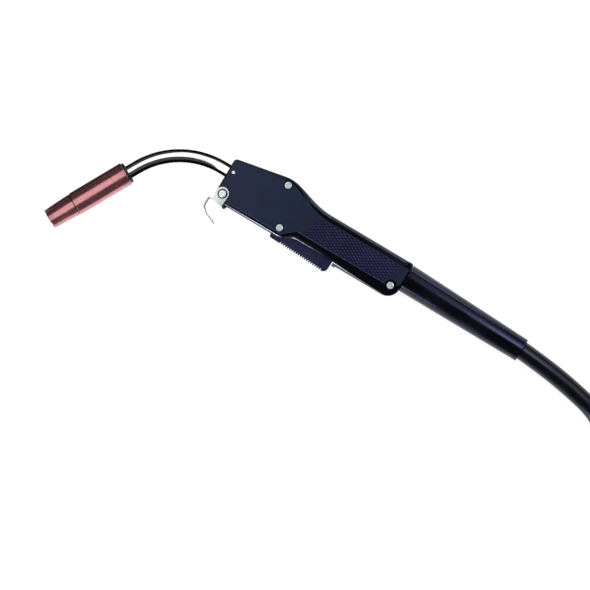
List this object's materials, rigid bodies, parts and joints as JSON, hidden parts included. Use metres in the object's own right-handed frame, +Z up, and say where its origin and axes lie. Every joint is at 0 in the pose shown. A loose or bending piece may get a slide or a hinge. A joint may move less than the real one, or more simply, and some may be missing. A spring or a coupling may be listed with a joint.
{
  "type": "mig welding torch",
  "caption": "Air-cooled MIG welding torch with a bent conductor tube, copper nozzle, two-shell trigger handle, hanging hook, cable and round plug.",
  "frame": {"origin": "on the flat right side face that the torch lies on, where the conductor tube's axis in the handle crosses the plane of the trigger's pivot", "axes": "+X runs back along the handle to the cable, +Y towards the handle's top, away from the trigger, +Z up out of the face it lies on, towards its left side"},
  "size_m": [0.922, 0.2736, 0.0453],
  "materials": {
    "copper": "drawn copper, lightly polished",
    "tip_copper": "bare copper",
    "insulator": "moulded phenolic",
    "spring_steel": "bare spring steel",
    "brass": "machined brass",
    "chrome_tube": "polished",
    "zinc_steel": "bright zinc plated",
    "zinc_sheet": "bright zinc plated sheet",
    "black_steel": "black oxide",
    "clear_hose": "translucent hose",
    "cable_rubber": "smooth satin jacket",
    "boot_rubber": "satin moulded rubber",
    "handle_plastic": "satin glass-filled nylon",
    "trigger_plastic": "satin moulded nylon",
    "switch_plastic": "moulded",
    "plunger_plastic": "moulded",
    "lead_plastic": "PVC insulation",
    "tie_fabric": "hook-and-loop strap"
  },
  "bodies": {
    "torch": {"nozzle_insulator": "insulator", "nozzle_spring_ring": "spring_steel", "gas_diffuser": "brass", "contact_tip": "tip_copper", "tube_jacket": "chrome_tube", "tube_insulation": "insulator", "tube_core": "tip_copper", "wire_liner": "spring_steel", "connector_block": "brass", "connector_set_screws": "zinc_steel", "cable_ferrule": "tip_copper", "cable_strands": "tip_copper", "gas_hose": "clear_hose", "cable_jacket": "cable_rubber", "cable_boot": "boot_rubber", "left_handle_shell": "handle_plastic", "right_handle_shell": "handle_plastic", "handle_screws": "zinc_steel", "handle_nuts": "zinc_steel", "tube_clamp_screw": "zinc_steel", "trigger_pin": "zinc_steel", "trigger_spring": "spring_steel", "switch_body": "switch_plastic", "switch_screws": "zinc_steel", "switch_terminals": "brass", "switch_leads": "lead_plastic", "hanger_hook": "zinc_sheet", "hook_washer": "black_steel", "hook_screw": "zinc_steel", "hook_nut": "zinc_steel", "cable_run": "cable_rubber", "cable_coil": "cable_rubber", "cable_tail": "cable_rubber", "coil_tie": "tie_fabric", "plug_boot": "boot_rubber", "plug_housing": "handle_plastic", "plug_body": "brass", "plug_o_rings": "cable_rubber", "plug_liner_nut": "brass"},
    "trigger": {"trigger": "trigger_plastic"},
    "plunger": {"switch_plunger": "plunger_plastic"},
    "nozzle": {"nozzle": "copper"},
    "coupling_nut": {"plug_nut": "trigger_plastic"},
    "contact_a": {"plug_contact_a": "brass"},
    "contact_b": {"plug_contact_b": "brass"}
  },
  "joints": [
    {"name": "trigger_hinge", "type": "hinge", "parent": "torch", "child": "trigger", "pos_m": [0, -0.0293, 0.016], "axis": [0, 0, 1], "range_deg": [0, 6], "stiffness_Nm_per_rad": 2, "springref_deg": -2.86, "deforming": ["trigger_spring"]},
    {"name": "plunger_slide", "type": "slide", "parent": "torch", "child": "plunger", "axis": [0, 1, 0], "range_m": [0, 0.0019]},
    {"name": "nozzle_slide", "type": "slide", "parent": "torch", "child": "nozzle", "axis": [-0.4772, -0.8788, 0], "range_m": [0, 0.02]},
    {"name": "coupling_nut_spin", "type": "hinge", "parent": "torch", "child": "coupling_nut", "pos_m": [0.66862, -0.11333, 0.0228], "axis": [1, 0, 0], "continuous": true},
    {"name": "contact_a_slide", "type": "slide", "parent": "torch", "child": "contact_a", "axis": [-1, 0, 0], "range_m": [0, 0.003], "stiffness_N_per_m": 400},
    {"name": "contact_b_slide", "type": "slide", "parent": "torch", "child": "contact_b", "axis": [-1, 0, 0], "range_m": [0, 0.003], "stiffness_N_per_m": 400}
  ],
  "couplings": [
    {"joint": "plunger_slide", "follows": "trigger_hinge", "m_per_rad": 0.018}
  ]
}
